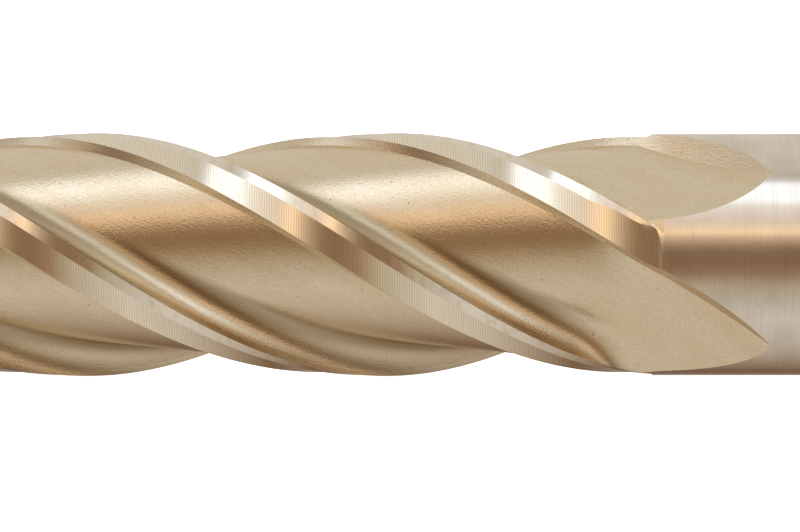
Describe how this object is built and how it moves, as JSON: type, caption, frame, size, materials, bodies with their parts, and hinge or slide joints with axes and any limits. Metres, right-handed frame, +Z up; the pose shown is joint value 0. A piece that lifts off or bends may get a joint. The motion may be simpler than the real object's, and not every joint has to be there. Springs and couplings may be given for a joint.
{
  "type": "end mill",
  "caption": "Square end mill with helical flutes, centre-cutting end teeth and a straight welded shank with driving flats.",
  "frame": {"origin": "centre of the shank's end face, on the tool axis", "axes": "+X along the tool axis, out of the shank's end; the cutting end points towards -X; +Z up, square to the driving flats"},
  "size_m": [0.1397, 0.0254, 0.0254],
  "materials": {
    "cobalt_steel": "ground, bright, with a faint straw tint in the flutes",
    "weld_steel": "turned just below the shank, slightly darker than the steels beside it",
    "shank_steel": "cylindrically ground, with fine rings round the axis"
  },
  "bodies": {
    "root": {"cutting_section": "cobalt_steel", "weld_band": "weld_steel", "shank": "shank_steel"}
  },
  "joints": []
}
